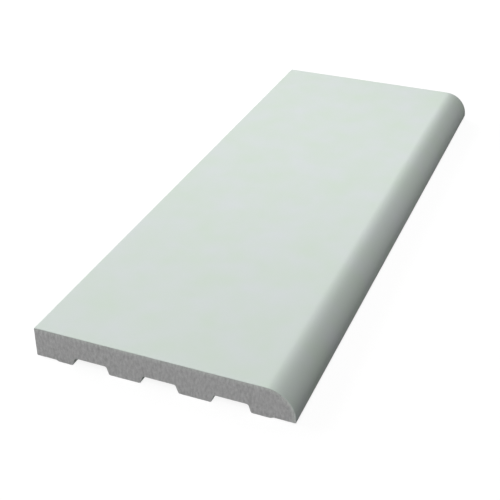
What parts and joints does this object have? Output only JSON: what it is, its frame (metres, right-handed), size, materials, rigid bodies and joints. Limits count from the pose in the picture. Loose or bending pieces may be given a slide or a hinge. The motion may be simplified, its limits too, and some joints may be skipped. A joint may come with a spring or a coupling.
{
  "type": "architrave",
  "caption": "Flat trim board with a rounded edge, a square edge and relief grooves along its back, cut square at both ends. It covers the joint round a door or window.",
  "frame": {"origin": "the middle of the back, at mid-length and mid-width, on the plane of the pads that bear on the wall", "axes": "+X across the board from its square edge to its rounded edge, +Y along the board away from the picture's near end, +Z out from the wall, which is up as the board lies on its back"},
  "size_m": [0.095, 0.255, 0.012],
  "materials": {
    "foamed_pvc": "satin"
  },
  "bodies": {
    "root": {"architrave": "foamed_pvc"}
  },
  "joints": []
}
